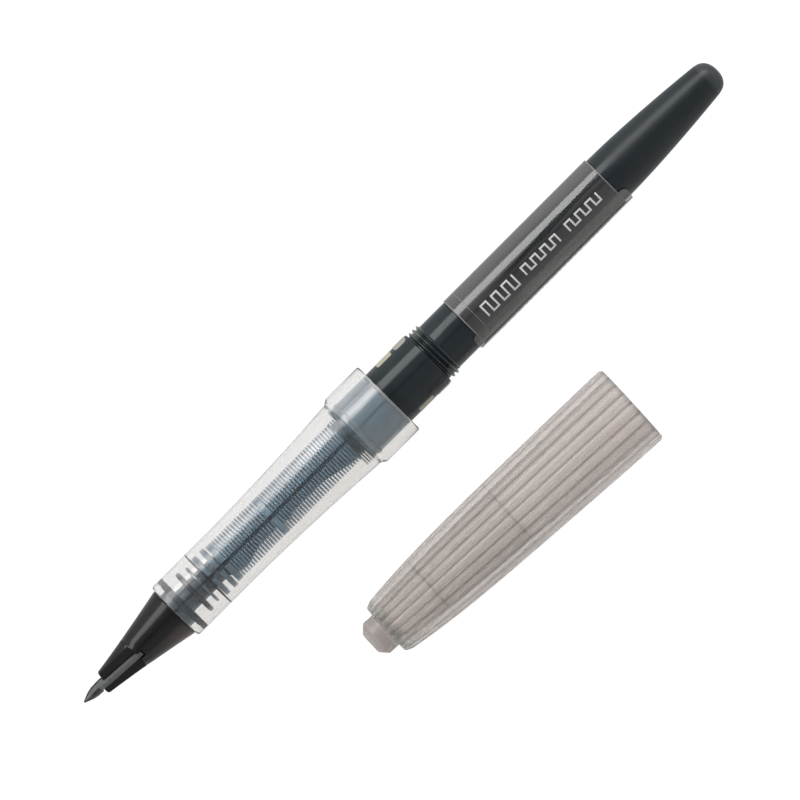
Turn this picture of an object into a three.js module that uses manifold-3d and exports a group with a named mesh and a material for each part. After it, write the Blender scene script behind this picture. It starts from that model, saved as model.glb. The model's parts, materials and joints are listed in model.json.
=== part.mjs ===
// Calligraphy marker writing unit with its ribbed cap lying beside it, built as an assembly of separate pieces.
// Millimetres, +Z up. The pen's axis runs along X, with the nib towards -X and the tail towards +X.
// The cap lies on the -Y side. Both rest on Z = 0, and the origin is the middle of the base.
// Along the pen and along the cap a place is a station: the distance from the nib's tip or the knob's end.

import * as THREE from 'three';
import { mergeVertices } from 'three/addons/utils/BufferGeometryUtils.js';
import Module from 'manifold-3d';

const wasm = await Module();
wasm.setup();

// ---- driving dimensions: the pen ---------------------------------------------------------------------------
const FIT_GAP = 0.1;            // between pieces that are pushed together
const NIB_BARE_LENGTH = 3.1;    // nib that stands out of its holder's longer jaw
const NIB_TIP_RADIUS = 0.12;
const NIB_POINT_LENGTH = 1.35;  // sharp cone at the very tip
const NIB_POINT_RADIUS = 0.65;
const NIB_ROOT_RADIUS = 0.75;
const BLADE_THICKNESS = 0.7;    // flat spring blade that carries the nib inside the holder
const BLADE_LENGTH = 6.66;
const BLADE_CREST = 0.6;        // how far the blade stands out of the holder's flats
const BLADE_SIDE_GAP = 0.14;    // blade to each wall of its slot
const BLADE_FLEX_ROOM = 0.5;    // below the blade, for its bending
const BLADE_TURN = 20;          // degrees, the blade's plane turned from straight up towards the cap

const HOLDER_LENGTH = 13.16;
const HOLDER_FRONT_RADIUS = 1.3;
const HOLDER_REAR_RADIUS = 3.66;
const HOLDER_FLARE = 1.15;      // above 1 the cone is slightly hollow
const HOLDER_NOSE_ROUND = 0.25;
const JAW_SETBACK = 0.9;        // the jaw away from the cap stops short of the other
const FLAT_LENGTH = 6.06;       // sunken flats beside the blade, from the holder's nose
const FLAT_FRONT_HEIGHT = 0.25; // above the axis at the nose
const FLAT_REAR_HEIGHT = 1.5;   // above the axis where the flats end in a step
const HOLDER_SHOULDER_RADIUS = 2.7;
const HOLDER_SHOULDER_LENGTH = 0.9;
const STEM_RADIUS = 1.7;        // the holder's stem and the collector's core

const SECTION_STEP = 0.56;      // the section stands this far proud of the holder's rear edge
const SECTION_WALL = 0.75;
const SECTION_LENGTH = 38.24;
const SECTION_STRAIGHT = 9.3;   // straight stretch before the grip begins to widen
const SECTION_REAR_RADIUS = 5.08;
const SECTION_FLARE = 1.8;
const COLLAR_LENGTH = 5.8;
const COLLAR_CONE_LENGTH = 1.4;
const COLLAR_WALL = 1.24;
const EDGE_ROUND = 0.3;

const RING_SPACING = 2.2;       // first ring to second ring
const FRONT_RING_WIDTH = 0.8;
const BAFFLE_RING_WIDTH = 0.62;
const STOP_RING_WIDTH = 0.35;
const WASHER_WIDTH = 0.2;
const RING_TO_STOP = 1.5;
const STOP_TO_WASHER = 1.1;

const FIN_GAP = 0.45;           // fin edge to the section's bore
const FIN_COUNT = 10;
const FIN_SHARE = 0.42;         // of the pitch that a fin fills
const DISC_COUNT = 3;
const DISC_WIDTH = 0.2;
const DISC_SPACING = 0.45;
const FLANGE_WIDTH = 0.7;
const SPIGOT_OVERRUN = 0.9;     // spigot past the plug
const INK_SLOT_WIDTH = 0.5;
const FEED_RADIUS = 0.45;

const NECK_RADIUS = 4.12;
const SOCKET_GAP = 0.2;         // neck to the collar's socket
const SKIRT_LENGTH = 5.3;       // neck hidden in the collar
const NECK_LENGTH = 7.2;
const RESERVOIR_WALL = 0.7;
const THREAD_TURNS = 3;
const THREAD_PITCH = 0.65;
const THREAD_DEPTH = 0.37;
const THREAD_STEPS = 4;         // profile points in one pitch
const BARREL_RADIUS = 3.6;
const BARREL_LEAD_LENGTH = 4.3;
const LABEL_LENGTH = 25.3;
const LABEL_THICKNESS = 0.13;
const LABEL_SEAT_DEPTH = 0.1;
const LABEL_GAP = 0.1;
const TAIL_LENGTH = 19.95;
const TAIL_END_RADIUS = 2.35;
const TAIL_SWELL = 1.65;        // above 1 the tail stays full before it tapers
const TAIL_DOME_LENGTH = 1.85;
const PLUG_LENGTH = 2.4;
const SEAL_RING_WIDTH = 0.5;
const SEAL_RING_GAP = 0.4;      // seal ring to the collar's socket
const LUG_LENGTH = 2.9;
const LUG_WIDTH = 2.4;
const LUG_DEPTH = 0.45;
const LUG_STANDOFF = 1.5;       // from the collar's rear face to the lugs

// ---- driving dimensions: the cap ---------------------------------------------------------------------------
const CAP_CLEARANCE = 0.21;     // cap bore to the section, on the radius
const CAP_WALL = 0.9;
const CAP_MOUTH_EASE = 0.22;    // extra room at the mouth
const CAP_COVER = 20.7;         // length of section that the cap covers
const CAP_END_RADIUS = 4.02;
const CAP_END_ROUND = 0.75;
const CAP_SHOULDER_LENGTH = 8.1;
const CAP_SHOULDER_RADIUS = 4.69;
const FLUTE_COUNT = 22;
const FLUTE_DEPTH = 0.26;
const FLUTE_TURN = 5.3;         // degrees from straight up to the nearest flute's crest
const FLUTE_STEPS = 4;          // facets in one flute
const CAP_STEPS = 3;            // facets along the flutes
const KNOB_LENGTH = 2.6;
const KNOB_RADIUS = 2.53;
const KNOB_CHAMFER = 1.0;
const END_WALL = 1.4;
const LINER_FLOOR = 2.94;
const NIB_ROOM = 1.0;           // nib tip to the liner's floor when the cap is on
const NIB_CHAMBER_RADIUS = 1.3;
const LINER_CLEARANCE = 0.3;    // liner to the nib holder
const LINER_RIM = 0.39;         // the liner's wall at its open edge

// ---- driving dimensions: how the two lie -------------------------------------------------------------------
const CAP_KNOB_STATION = 30.9;  // the knob's end, along the pen from the nib's tip
const CAP_SIDE_DISTANCE = 20.4; // the knob's axis from the pen's axis
const CAP_YAW = -2.46;          // degrees about Z

const ROUND_SEGMENTS = 28;
const SMALL_SEGMENTS = 16;
const CURVE_STEPS = 5;
const DOME_STEPS = 3;
const HALVINGS = 30;            // of an interval, to find a point on a curve
const DEGREE = Math.PI / 180;

// ---- stations and radii that follow ------------------------------------------------------------------------
const holderFront = NIB_BARE_LENGTH;
const sectionFront = holderFront + HOLDER_LENGTH;
const sectionRear = sectionFront + SECTION_LENGTH;
const collarFront = sectionRear - COLLAR_LENGTH;
const coneFront = collarFront - COLLAR_CONE_LENGTH;
const bladeRear = holderFront + BLADE_LENGTH;
const sectionFrontRadius = HOLDER_REAR_RADIUS + SECTION_STEP;
const boreRadius = sectionFrontRadius - SECTION_WALL;
const socketRadius = NECK_RADIUS + SOCKET_GAP;
const collarRadius = socketRadius + COLLAR_WALL;

const ringFront = sectionFront + HOLDER_SHOULDER_LENGTH + FIT_GAP;
const baffleFront = ringFront + RING_SPACING;
const stopFront = baffleFront + RING_TO_STOP;
const washerFront = stopFront + STOP_TO_WASHER;
const stemRear = washerFront - FIT_GAP;
const collectorFront = washerFront + WASHER_WIDTH + FIT_GAP;
const skirtFront = sectionRear - SKIRT_LENGTH;
const sealFront = skirtFront - FIT_GAP - SEAL_RING_WIDTH;
const flangeRear = sealFront - FIT_GAP;
const discsRear = flangeRear - FLANGE_WIDTH;
const finsRear = discsRear - DISC_COUNT * DISC_SPACING;
const finPitch = (finsRear - collectorFront) / FIN_COUNT;
const socketFront = finsRear - 2 * FIT_GAP;
const plugFront = skirtFront + FIT_GAP;
const plugRear = plugFront + PLUG_LENGTH;
const spigotRear = plugRear + SPIGOT_OVERRUN;
const feedRear = spigotRear + FIT_GAP;
const inkFront = feedRear + 2 * FIT_GAP;

const neckRear = sectionRear + NECK_LENGTH;
const threadRear = neckRear + THREAD_TURNS * THREAD_PITCH;
const labelFront = threadRear + BARREL_LEAD_LENGTH;
const labelRear = labelFront + LABEL_LENGTH;
const tailRear = labelRear + TAIL_LENGTH;
const neckBore = NECK_RADIUS - RESERVOIR_WALL;
const barrelBore = BARREL_RADIUS - RESERVOIR_WALL;
const labelSeatRadius = BARREL_RADIUS - LABEL_SEAT_DEPTH;
const tailFrontRadius = labelSeatRadius;

const linerFloor = KNOB_LENGTH + END_WALL + LINER_FLOOR;
const capSeat = linerFloor + NIB_ROOM + sectionFront;
const capLength = capSeat + CAP_COVER;
const capMouthBore = sectionRadius(sectionFront + CAP_COVER) + CAP_CLEARANCE + CAP_MOUTH_EASE;
const capSeatBore = Math.max(
  sectionFrontRadius + CAP_CLEARANCE,
  HOLDER_REAR_RADIUS + LINER_CLEARANCE + LINER_RIM + FIT_GAP,
);
const capOutline = new THREE.SplineCurve([
  new THREE.Vector2(KNOB_LENGTH + CAP_END_ROUND, CAP_END_RADIUS),
  new THREE.Vector2(KNOB_LENGTH + CAP_SHOULDER_LENGTH, CAP_SHOULDER_RADIUS),
  new THREE.Vector2(capSeat, capSeatBore + CAP_WALL),
  new THREE.Vector2(capLength, capMouthBore + CAP_WALL),
]);

// The holder's cone: a straight flare with a slightly hollow side.
function holderRadius(station) {
  const along = (station - holderFront) / HOLDER_LENGTH;
  return HOLDER_FRONT_RADIUS + (HOLDER_REAR_RADIUS - HOLDER_FRONT_RADIUS) * along ** HOLDER_FLARE;
}

// The grip: straight at first, then widening towards the collar.
function sectionRadius(station) {
  const start = sectionFront + SECTION_STRAIGHT;
  const along = Math.max(0, (station - start) / (coneFront - start));
  return sectionFrontRadius + (SECTION_REAR_RADIUS - sectionFrontRadius) * along ** SECTION_FLARE;
}

// The tail: full at first, then tapering to the crease where its dome starts.
function tailRadius(along) {
  return tailFrontRadius - (tailFrontRadius - TAIL_END_RADIUS) * along ** TAIL_SWELL;
}

// ---- helpers -----------------------------------------------------------------------------------------------

// A profile of [station, radius] pairs turned about the X axis.
function turned(profile, segments = ROUND_SEGMENTS) {
  const points = profile.map(([station, radius]) => new THREE.Vector2(Math.max(radius, 0), station));
  return new THREE.LatheGeometry(points, segments).rotateZ(-Math.PI / 2);
}

// A plain ring between two radii.
function ring(front, width, inner, outer, segments = ROUND_SEGMENTS) {
  const rear = front + width;
  return turned([[front, inner], [front, outer], [rear, outer], [rear, inner], [front, inner]], segments);
}

// Points of a quarter arc that rounds an edge, from one tangent point to the other.
function arc(centreStation, centreRadius, size, from, to, steps = 2) {
  return Array.from({ length: steps + 1 }, (_, i) => {
    const angle = (from + (to - from) * i / steps) * DEGREE;
    return [centreStation + size * Math.cos(angle), centreRadius + size * Math.sin(angle)];
  });
}

function evenly(from, to, steps) {
  return Array.from({ length: steps + 1 }, (_, i) => from + (to - from) * i / steps);
}

function asSolid(geometry) {
  const bare = new THREE.BufferGeometry();
  bare.setAttribute('position', geometry.getAttribute('position').clone());
  const order = geometry.index ? geometry.index.array : [...Array(bare.getAttribute('position').count).keys()];
  bare.setIndex(Array.from(order));
  const merged = mergeVertices(bare, 1e-5);
  const corners = [];
  for (let i = 0; i < merged.index.count; i += 3) {
    const [a, b, c] = [0, 1, 2].map((k) => merged.index.getX(i + k));
    if (a !== b && b !== c && c !== a) {
      corners.push(a, b, c);
    }
  }
  return new wasm.Manifold(new wasm.Mesh({
    numProp: 3,
    vertProperties: Float32Array.from(merged.getAttribute('position').array),
    triVerts: Uint32Array.from(corners),
  }));
}

function asGeometry(solid) {
  const mesh = solid.getMesh();
  const geometry = new THREE.BufferGeometry();
  geometry.setAttribute('position', new THREE.BufferAttribute(mesh.vertProperties, 3));
  geometry.setIndex(new THREE.BufferAttribute(mesh.triVerts, 1));
  geometry.computeVertexNormals();
  return geometry;
}

function cut(geometry, ...tools) {
  const solid = tools.reduce((left, tool) => left.subtract(asSolid(tool)), asSolid(geometry));
  return asGeometry(solid);
}

// A block between two opposite corners.
function block([x0, y0, z0], [x1, y1, z1]) {
  return new THREE.BoxGeometry(x1 - x0, y1 - y0, z1 - z0)
    .translate((x0 + x1) / 2, (y0 + y1) / 2, (z0 + z1) / 2);
}

// Moves each vertex in or out from the X axis by what change(station, angle, radius) says.
function reshaped(geometry, change) {
  const place = geometry.getAttribute('position');
  for (let i = 0; i < place.count; i++) {
    const [station, y, z] = [place.getX(i), place.getY(i), place.getZ(i)];
    const radius = Math.hypot(y, z);
    if (radius > 0) {
      const scale = change(station, Math.atan2(z, y), radius) / radius;
      place.setXYZ(i, station, y * scale, z * scale);
    }
  }
  return geometry;
}

function plastic(color, roughness = 0.35) {
  return new THREE.MeshStandardMaterial({ color, roughness, metalness: 0 });
}

function piece(name, geometry, material) {
  const mesh = new THREE.Mesh(geometry, material);
  mesh.name = name;
  return mesh;
}

// ---- nib and holder ----------------------------------------------------------------------------------------

// Height of the sunken flats above the axis, and of the blade's crest above the flats.
function flatHeight(station) {
  const along = (station - holderFront) / FLAT_LENGTH;
  return FLAT_FRONT_HEIGHT + (FLAT_REAR_HEIGHT - FLAT_FRONT_HEIGHT) * along;
}

// A pointed tip that runs back into a thin upright blade. The blade is the spring of the writing point.
function nib() {
  const rootFront = holderFront - 2 * FIT_GAP;
  const tip = turned([
    [0, 0],
    [0, NIB_TIP_RADIUS],
    [NIB_POINT_LENGTH, NIB_POINT_RADIUS],
    [rootFront, NIB_ROOT_RADIUS],
    [rootFront, 0],
  ], SMALL_SEGMENTS);
  const side = new THREE.Shape([
    new THREE.Vector2(NIB_POINT_LENGTH, -NIB_POINT_RADIUS / 2),
    new THREE.Vector2(holderFront, -NIB_ROOT_RADIUS + FIT_GAP),
    new THREE.Vector2(bladeRear, -NIB_ROOT_RADIUS + FIT_GAP),
    new THREE.Vector2(bladeRear, flatHeight(bladeRear) + BLADE_CREST),
    new THREE.Vector2(holderFront, flatHeight(holderFront) + BLADE_CREST),
    new THREE.Vector2(NIB_POINT_LENGTH, NIB_POINT_RADIUS / 2),
  ]);
  const blade = new THREE.ExtrudeGeometry(side, { depth: BLADE_THICKNESS, bevelEnabled: false, steps: 1 })
    .translate(0, 0, -BLADE_THICKNESS / 2)
    .rotateX(Math.PI / 2);
  return asGeometry(asSolid(tip).add(asSolid(blade)));
}

// The dark cone that holds the blade in a slot between two jaws, with sunken flats beside it.
function nibHolder() {
  const body = turned([
    [holderFront, 0],
    [holderFront, HOLDER_FRONT_RADIUS - HOLDER_NOSE_ROUND],
    ...evenly(holderFront + HOLDER_NOSE_ROUND, sectionFront - FIT_GAP, CURVE_STEPS)
      .map((station) => [station, holderRadius(station)]),
    [sectionFront - FIT_GAP, HOLDER_SHOULDER_RADIUS],
    [sectionFront + HOLDER_SHOULDER_LENGTH, HOLDER_SHOULDER_RADIUS],
    [sectionFront + HOLDER_SHOULDER_LENGTH, STEM_RADIUS],
    [stemRear, STEM_RADIUS],
    [stemRear, 0],
  ]);
  const slotHalf = BLADE_THICKNESS / 2 + BLADE_SIDE_GAP;
  const slot = block(
    [holderFront - 1, -slotHalf, -NIB_ROOT_RADIUS - BLADE_FLEX_ROOM],
    [bladeRear + 2 * FIT_GAP, slotHalf, HOLDER_REAR_RADIUS],
  );
  const tilt = Math.atan2(FLAT_REAR_HEIGHT - FLAT_FRONT_HEIGHT, FLAT_LENGTH);
  const flats = block([-2 * FLAT_LENGTH, -HOLDER_REAR_RADIUS, 0], [0, HOLDER_REAR_RADIUS, HOLDER_REAR_RADIUS])
    .rotateY(-tilt)
    .translate(holderFront + FLAT_LENGTH, 0, FLAT_REAR_HEIGHT);
  const setback = block(
    [holderFront - 1, 0, -HOLDER_REAR_RADIUS],
    [holderFront + JAW_SETBACK, HOLDER_REAR_RADIUS, HOLDER_REAR_RADIUS],
  );
  const feedHole = turned([
    [bladeRear, 0],
    [bladeRear, FEED_RADIUS + FIT_GAP],
    [stemRear + 1, FEED_RADIUS + FIT_GAP],
    [stemRear + 1, 0],
  ], SMALL_SEGMENTS);
  return cut(body, slot, flats, setback, feedHole);
}

// ---- section and what it holds -----------------------------------------------------------------------------

// Clear grip with a thick collar: the holder seats on its front rim and the neck in its rear socket.
function sectionShell() {
  return turned([
    [sectionFront, boreRadius],
    ...arc(sectionFront + EDGE_ROUND, sectionFrontRadius - EDGE_ROUND, EDGE_ROUND, 180, 90),
    ...evenly(sectionFront + SECTION_STRAIGHT, coneFront, CURVE_STEPS)
      .map((station) => [station, sectionRadius(station)]),
    [collarFront, collarRadius],
    ...arc(sectionRear - EDGE_ROUND, collarRadius - EDGE_ROUND, EDGE_ROUND, 90, 0),
    [sectionRear, socketRadius],
    [socketFront, socketRadius],
    [socketFront, boreRadius],
    [sectionFront, boreRadius],
  ]);
}

// Stack of fins that buffers ink and air, with a flange behind it and a spigot into the reservoir's plug.
function collector() {
  const finRadius = boreRadius - FIN_GAP;
  const discRadius = socketRadius - FIT_GAP;
  const fin = (front, width, radius) => [
    [front, STEM_RADIUS], [front, radius], [front + width, radius], [front + width, STEM_RADIUS],
  ];
  const feedHole = FEED_RADIUS + FIT_GAP;
  const fins = Array.from({ length: FIN_COUNT }, (_, i) =>
    fin(collectorFront + i * finPitch, finPitch * FIN_SHARE, finRadius));
  const discs = Array.from({ length: DISC_COUNT }, (_, i) =>
    fin(finsRear + i * DISC_SPACING, DISC_WIDTH, discRadius));
  const stack = turned([
    ...fins.flat(),
    ...discs.flat(),
    ...fin(discsRear, FLANGE_WIDTH, discRadius),
    [spigotRear, STEM_RADIUS],
    [spigotRear, feedHole],
    [collectorFront, feedHole],
    [collectorFront, STEM_RADIUS],
  ]);
  const inkSlot = block(
    [collectorFront - 1, -INK_SLOT_WIDTH / 2, FEED_RADIUS + 2 * FIT_GAP],
    [finsRear - FIT_GAP, INK_SLOT_WIDTH / 2, boreRadius],
  );
  return cut(stack, inkSlot);
}

// Wick that carries ink from the reservoir to the back of the blade.
function feedRod() {
  const front = bladeRear + 3 * FIT_GAP;
  return turned([[front, 0], [front, FEED_RADIUS], [feedRear, FEED_RADIUS], [feedRear, 0]], SMALL_SEGMENTS);
}

// ---- reservoir ---------------------------------------------------------------------------------------------

// Outside of a single-start screw thread: a helical ridge that fades in and out over half a turn.
function threadRadius(station, angle) {
  const turns = (station - neckRear) / THREAD_PITCH;
  const phase = turns - angle / (2 * Math.PI);
  const ridge = 0.5 - 0.5 * Math.cos(2 * Math.PI * phase);
  const fade = Math.min(1, 2 * Math.min(turns, THREAD_TURNS - turns));
  return BARREL_RADIUS + THREAD_DEPTH * ridge * Math.max(0, fade);
}

// Smoke-dark ink tank: skirt and neck, screw thread, barrel with a seat for the label, and a domed tail.
function reservoir() {
  const threadFront = neckRear + FIT_GAP;
  const tailStations = evenly(labelRear + FIT_GAP, tailRear - TAIL_DOME_LENGTH, CURVE_STEPS);
  const alongTail = (station) => (station - labelRear) / (TAIL_LENGTH - TAIL_DOME_LENGTH);
  const dome = evenly(25, 90, DOME_STEPS).map((degrees) => [
    tailRear - TAIL_DOME_LENGTH * (1 - Math.sin(degrees * DEGREE)),
    TAIL_END_RADIUS * Math.cos(degrees * DEGREE),
  ]);
  const shell = turned([
    [skirtFront, neckBore],
    [skirtFront, NECK_RADIUS],
    [neckRear, NECK_RADIUS],
    ...evenly(threadFront, threadRear, THREAD_TURNS * THREAD_STEPS).map((station) => [station, BARREL_RADIUS]),
    [labelFront - FIT_GAP, BARREL_RADIUS],
    [labelFront - FIT_GAP, labelSeatRadius],
    ...tailStations.map((station) => [station, tailRadius(alongTail(station))]),
    ...dome,
    [tailRear - RESERVOIR_WALL, 0],
    [tailRear - TAIL_DOME_LENGTH, TAIL_END_RADIUS - RESERVOIR_WALL],
    [labelRear, tailFrontRadius - RESERVOIR_WALL],
    [labelFront, barrelBore - LABEL_SEAT_DEPTH],
    [threadRear, barrelBore],
    [neckRear, barrelBore],
    [neckRear - RESERVOIR_WALL, neckBore],
    [skirtFront, neckBore],
  ]);
  const threaded = reshaped(shell, (station, angle, radius) => {
    const onThread = radius > BARREL_RADIUS - 1e-3 && station > threadFront - 1e-3 && station < threadRear + 1e-3;
    return onThread ? threadRadius(station, angle) : radius;
  });
  return cut(threaded, ...[1, -1].map((side) => lug(side, FIT_GAP)));
}

// A latch pad let into the neck's side. extra grows it on every side, for its pocket.
function lug(side, extra = 0) {
  const front = sectionRear + LUG_STANDOFF;
  const half = LUG_WIDTH / 2;
  const outer = NECK_RADIUS - 2 * FIT_GAP + (extra > 0 ? 1 : 0);
  const inner = NECK_RADIUS - LUG_DEPTH;
  const edges = [side * (inner - extra), side * outer].sort((a, b) => a - b);
  return block([front - extra, edges[0], -half - extra], [front + LUG_LENGTH + extra, edges[1], half + extra]);
}

function reservoirPlug() {
  return ring(plugFront, PLUG_LENGTH, STEM_RADIUS + FIT_GAP, neckBore - FIT_GAP);
}

// The ink itself, as one solid that fills the tank.
function inkCharge() {
  const room = 2 * FIT_GAP;
  return turned([
    [inkFront, 0],
    [inkFront, neckBore - room],
    [neckRear - RESERVOIR_WALL - room, neckBore - room],
    [neckRear - room, barrelBore - room],
    [threadRear, barrelBore - room],
    [labelFront, barrelBore - LABEL_SEAT_DEPTH - room],
    [labelRear, tailFrontRadius - RESERVOIR_WALL - room],
    [tailRear - TAIL_DOME_LENGTH - room, TAIL_END_RADIUS - RESERVOIR_WALL - room],
    [tailRear - TAIL_DOME_LENGTH - room, 0],
  ]);
}

function labelFilm() {
  const inner = labelSeatRadius + LABEL_GAP;
  return ring(labelFront, LABEL_LENGTH, inner, inner + LABEL_THICKNESS);
}

// ---- cap ---------------------------------------------------------------------------------------------------

// The sleeve's radius over its flutes. The outline runs in a parameter of its own, found by halving an interval.
function capRadius(station) {
  let [low, high] = [0, 1];
  for (let i = 0; i < HALVINGS; i++) {
    const middle = (low + high) / 2;
    if (capOutline.getPoint(middle).x < station) {
      low = middle;
    } else {
      high = middle;
    }
  }
  return capOutline.getPoint(low).y;
}

function capPoints(from, to, steps) {
  return evenly(from, to, steps).map((station) => [station, capRadius(station)]);
}

// Ribbed sleeve: 22 rounded flutes outside, a plain bore inside, and a hole in its end for the liner's knob.
function capShell() {
  const endInner = KNOB_LENGTH + END_WALL;
  const fluted = capPoints(KNOB_LENGTH + CAP_END_ROUND, capLength - EDGE_ROUND, CAP_STEPS);
  const inside = [...capPoints(endInner, capSeat, 2), [capLength, capRadius(capLength)]].reverse();
  const shell = turned([
    [KNOB_LENGTH, KNOB_RADIUS + FIT_GAP],
    ...arc(KNOB_LENGTH + CAP_END_ROUND, CAP_END_RADIUS - CAP_END_ROUND, CAP_END_ROUND, 180, 90, 2).slice(0, -1),
    ...fluted,
    [capLength, fluted.at(-1)[1] - EDGE_ROUND / 2],
    ...inside.map(([station, radius]) => [station, radius - CAP_WALL]),
    [endInner, KNOB_RADIUS + FIT_GAP],
    [KNOB_LENGTH, KNOB_RADIUS + FIT_GAP],
  ], FLUTE_COUNT * FLUTE_STEPS);
  const fluteFront = KNOB_LENGTH + CAP_END_ROUND / 2;
  return reshaped(shell, (station, angle, radius) => {
    const outside = radius > capRadius(station) - CAP_WALL / 2;
    const onFlutes = outside && station > fluteFront && station < capLength - EDGE_ROUND / 2;
    const crest = Math.abs(Math.cos(FLUTE_COUNT * (angle - Math.PI / 2) / 2));
    return onFlutes ? radius - FLUTE_DEPTH * (1 - crest) : radius;
  });
}

// Inner cap: its knob pokes out of the sleeve's end, and its cone seals round the nib holder.
function innerCap() {
  const flange = KNOB_LENGTH + END_WALL + FIT_GAP;
  const outside = capPoints(flange, capSeat - FIT_GAP, 2).map(([station, radius]) =>
    [station, radius - CAP_WALL - FIT_GAP]);
  return turned([
    [0, 0],
    [0, KNOB_RADIUS - KNOB_CHAMFER],
    [KNOB_CHAMFER, KNOB_RADIUS],
    [flange, KNOB_RADIUS],
    ...outside,
    [capSeat - FIT_GAP, HOLDER_REAR_RADIUS + LINER_CLEARANCE],
    [linerFloor + NIB_ROOM + holderFront - LINER_CLEARANCE, HOLDER_FRONT_RADIUS + LINER_CLEARANCE],
    [linerFloor + NIB_ROOM + holderFront - LINER_CLEARANCE, NIB_CHAMBER_RADIUS],
    [linerFloor, NIB_CHAMBER_RADIUS],
    [linerFloor, 0],
  ]);
}

// ---- assembly ----------------------------------------------------------------------------------------------

const jet = plastic(0x221e1c, 0.4);
const smoke = plastic(0x252c31, 0.12);
const slate = plastic(0x4f5d66, 0.4);
const clear = plastic(0xd9d4cf, 0.12);
const capGrey = plastic(0xb4aba7, 0.25);
const ivory = plastic(0xcfc4a8, 0.5);

const nibMesh = piece('nib', nib(), plastic(0x45484a, 0.55));
const holderMesh = piece('nib_holder', nibHolder(), jet);
for (const mesh of [nibMesh, holderMesh]) {
  mesh.rotation.x = BLADE_TURN * DEGREE;
}

const onStem = STEM_RADIUS + FIT_GAP;
const pen = new THREE.Group();
pen.add(
  nibMesh,
  holderMesh,
  piece('front_ring', ring(ringFront, FRONT_RING_WIDTH, onStem, boreRadius - FIT_GAP), slate),
  piece('baffle_ring', ring(baffleFront, BAFFLE_RING_WIDTH, onStem, boreRadius - FIN_GAP / 2), slate),
  piece('stop_ring', ring(stopFront, STOP_RING_WIDTH, onStem, boreRadius - FIN_GAP), slate),
  piece('seal_washer', ring(washerFront, WASHER_WIDTH, FEED_RADIUS + FIT_GAP, boreRadius - FIT_GAP), slate),
  piece('feed_rod', feedRod(), plastic(0x2c343b, 0.7)),
  piece('collector', collector(), slate),
  piece('section_shell', sectionShell(), clear),
  piece('rear_seal_ring', ring(sealFront, SEAL_RING_WIDTH, STEM_RADIUS + FIT_GAP, socketRadius - SEAL_RING_GAP), ivory),
  piece('reservoir', reservoir(), smoke),
  piece('reservoir_plug', reservoirPlug(), slate),
  piece('ink_charge', inkCharge(), plastic(0x101214, 0.1)),
  piece('lock_lug_left', lug(1), ivory),
  piece('lock_lug_right', lug(-1), ivory),
  piece('label_film', labelFilm(), plastic(0x4a4a4c, 0.15)),
);
pen.position.z = collarRadius;

const sleeveMesh = piece('cap_shell', capShell(), capGrey);
sleeveMesh.rotation.x = FLUTE_TURN * DEGREE;
const cap = new THREE.Group();
cap.add(sleeveMesh, piece('inner_cap', innerCap(), capGrey));
cap.rotation.z = CAP_YAW * DEGREE;
cap.position.set(CAP_KNOB_STATION, -CAP_SIDE_DISTANCE, capMouthBore + CAP_WALL);

const marker = new THREE.Group();
marker.add(pen, cap);

// The origin is the middle of the box round everything, on the surface that it lies on.
const box = new THREE.Box3().setFromObject(marker, true);
const middle = box.getCenter(new THREE.Vector3());
marker.position.set(-middle.x, -middle.y, -box.min.z);

export default marker;
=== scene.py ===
"""Looks of a calligraphy marker writing unit and its fluted cap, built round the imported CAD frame.

A place along the pen or the cap is a station: millimetres from the nib's tip or from the cap's knob.
Across an axis a point has an angle: 0 is towards +Y, a quarter turn is straight up.
"""

import json
import math

import bpy
import numpy as np
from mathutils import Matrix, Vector


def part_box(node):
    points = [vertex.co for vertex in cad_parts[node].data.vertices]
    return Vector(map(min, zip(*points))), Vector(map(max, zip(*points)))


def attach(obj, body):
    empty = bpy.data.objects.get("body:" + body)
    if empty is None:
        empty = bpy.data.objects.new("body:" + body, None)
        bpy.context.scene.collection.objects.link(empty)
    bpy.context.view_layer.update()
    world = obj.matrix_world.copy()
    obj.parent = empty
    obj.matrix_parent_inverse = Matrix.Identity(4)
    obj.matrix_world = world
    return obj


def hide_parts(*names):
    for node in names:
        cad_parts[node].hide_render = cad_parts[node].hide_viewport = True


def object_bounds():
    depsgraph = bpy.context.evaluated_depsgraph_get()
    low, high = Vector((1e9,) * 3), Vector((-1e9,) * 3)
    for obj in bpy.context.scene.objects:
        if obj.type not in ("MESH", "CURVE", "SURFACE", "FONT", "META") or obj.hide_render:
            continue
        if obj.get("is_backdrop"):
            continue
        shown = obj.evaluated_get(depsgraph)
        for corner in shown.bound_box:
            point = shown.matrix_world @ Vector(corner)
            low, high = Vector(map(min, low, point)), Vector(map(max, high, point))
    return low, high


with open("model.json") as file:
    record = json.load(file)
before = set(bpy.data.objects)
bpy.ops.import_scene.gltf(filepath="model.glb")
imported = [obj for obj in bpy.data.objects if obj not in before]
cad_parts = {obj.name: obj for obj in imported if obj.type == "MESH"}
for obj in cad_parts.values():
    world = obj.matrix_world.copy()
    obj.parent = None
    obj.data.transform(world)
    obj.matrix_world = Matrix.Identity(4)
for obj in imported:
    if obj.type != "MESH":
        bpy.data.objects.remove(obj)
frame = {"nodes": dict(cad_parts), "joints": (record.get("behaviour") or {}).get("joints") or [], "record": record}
CAD_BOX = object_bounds()

MM = 0.001
TURN = 2 * math.pi
UP = math.pi / 2

# ---- sizes of the fine shapes, in mm -------------------------------------------------------------

# Nib and holder. The jaws start a little in front of the frame's holder.
JAW_LEAD = 0.12
JAW_SETBACK = 0.8
FLAT_LENGTH = 6.06
SLOT_HALF = 0.49
HOLDER_RADII = (1.4, 3.7)
TIP_PLACES = (0, 0.06, 0.25, 1.2, 1.9, 3.2, 5.0)
TIP_RADII = (0.08, 0.13, 0.22, 0.62, 0.78, 0.84, 0.7)

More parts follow.
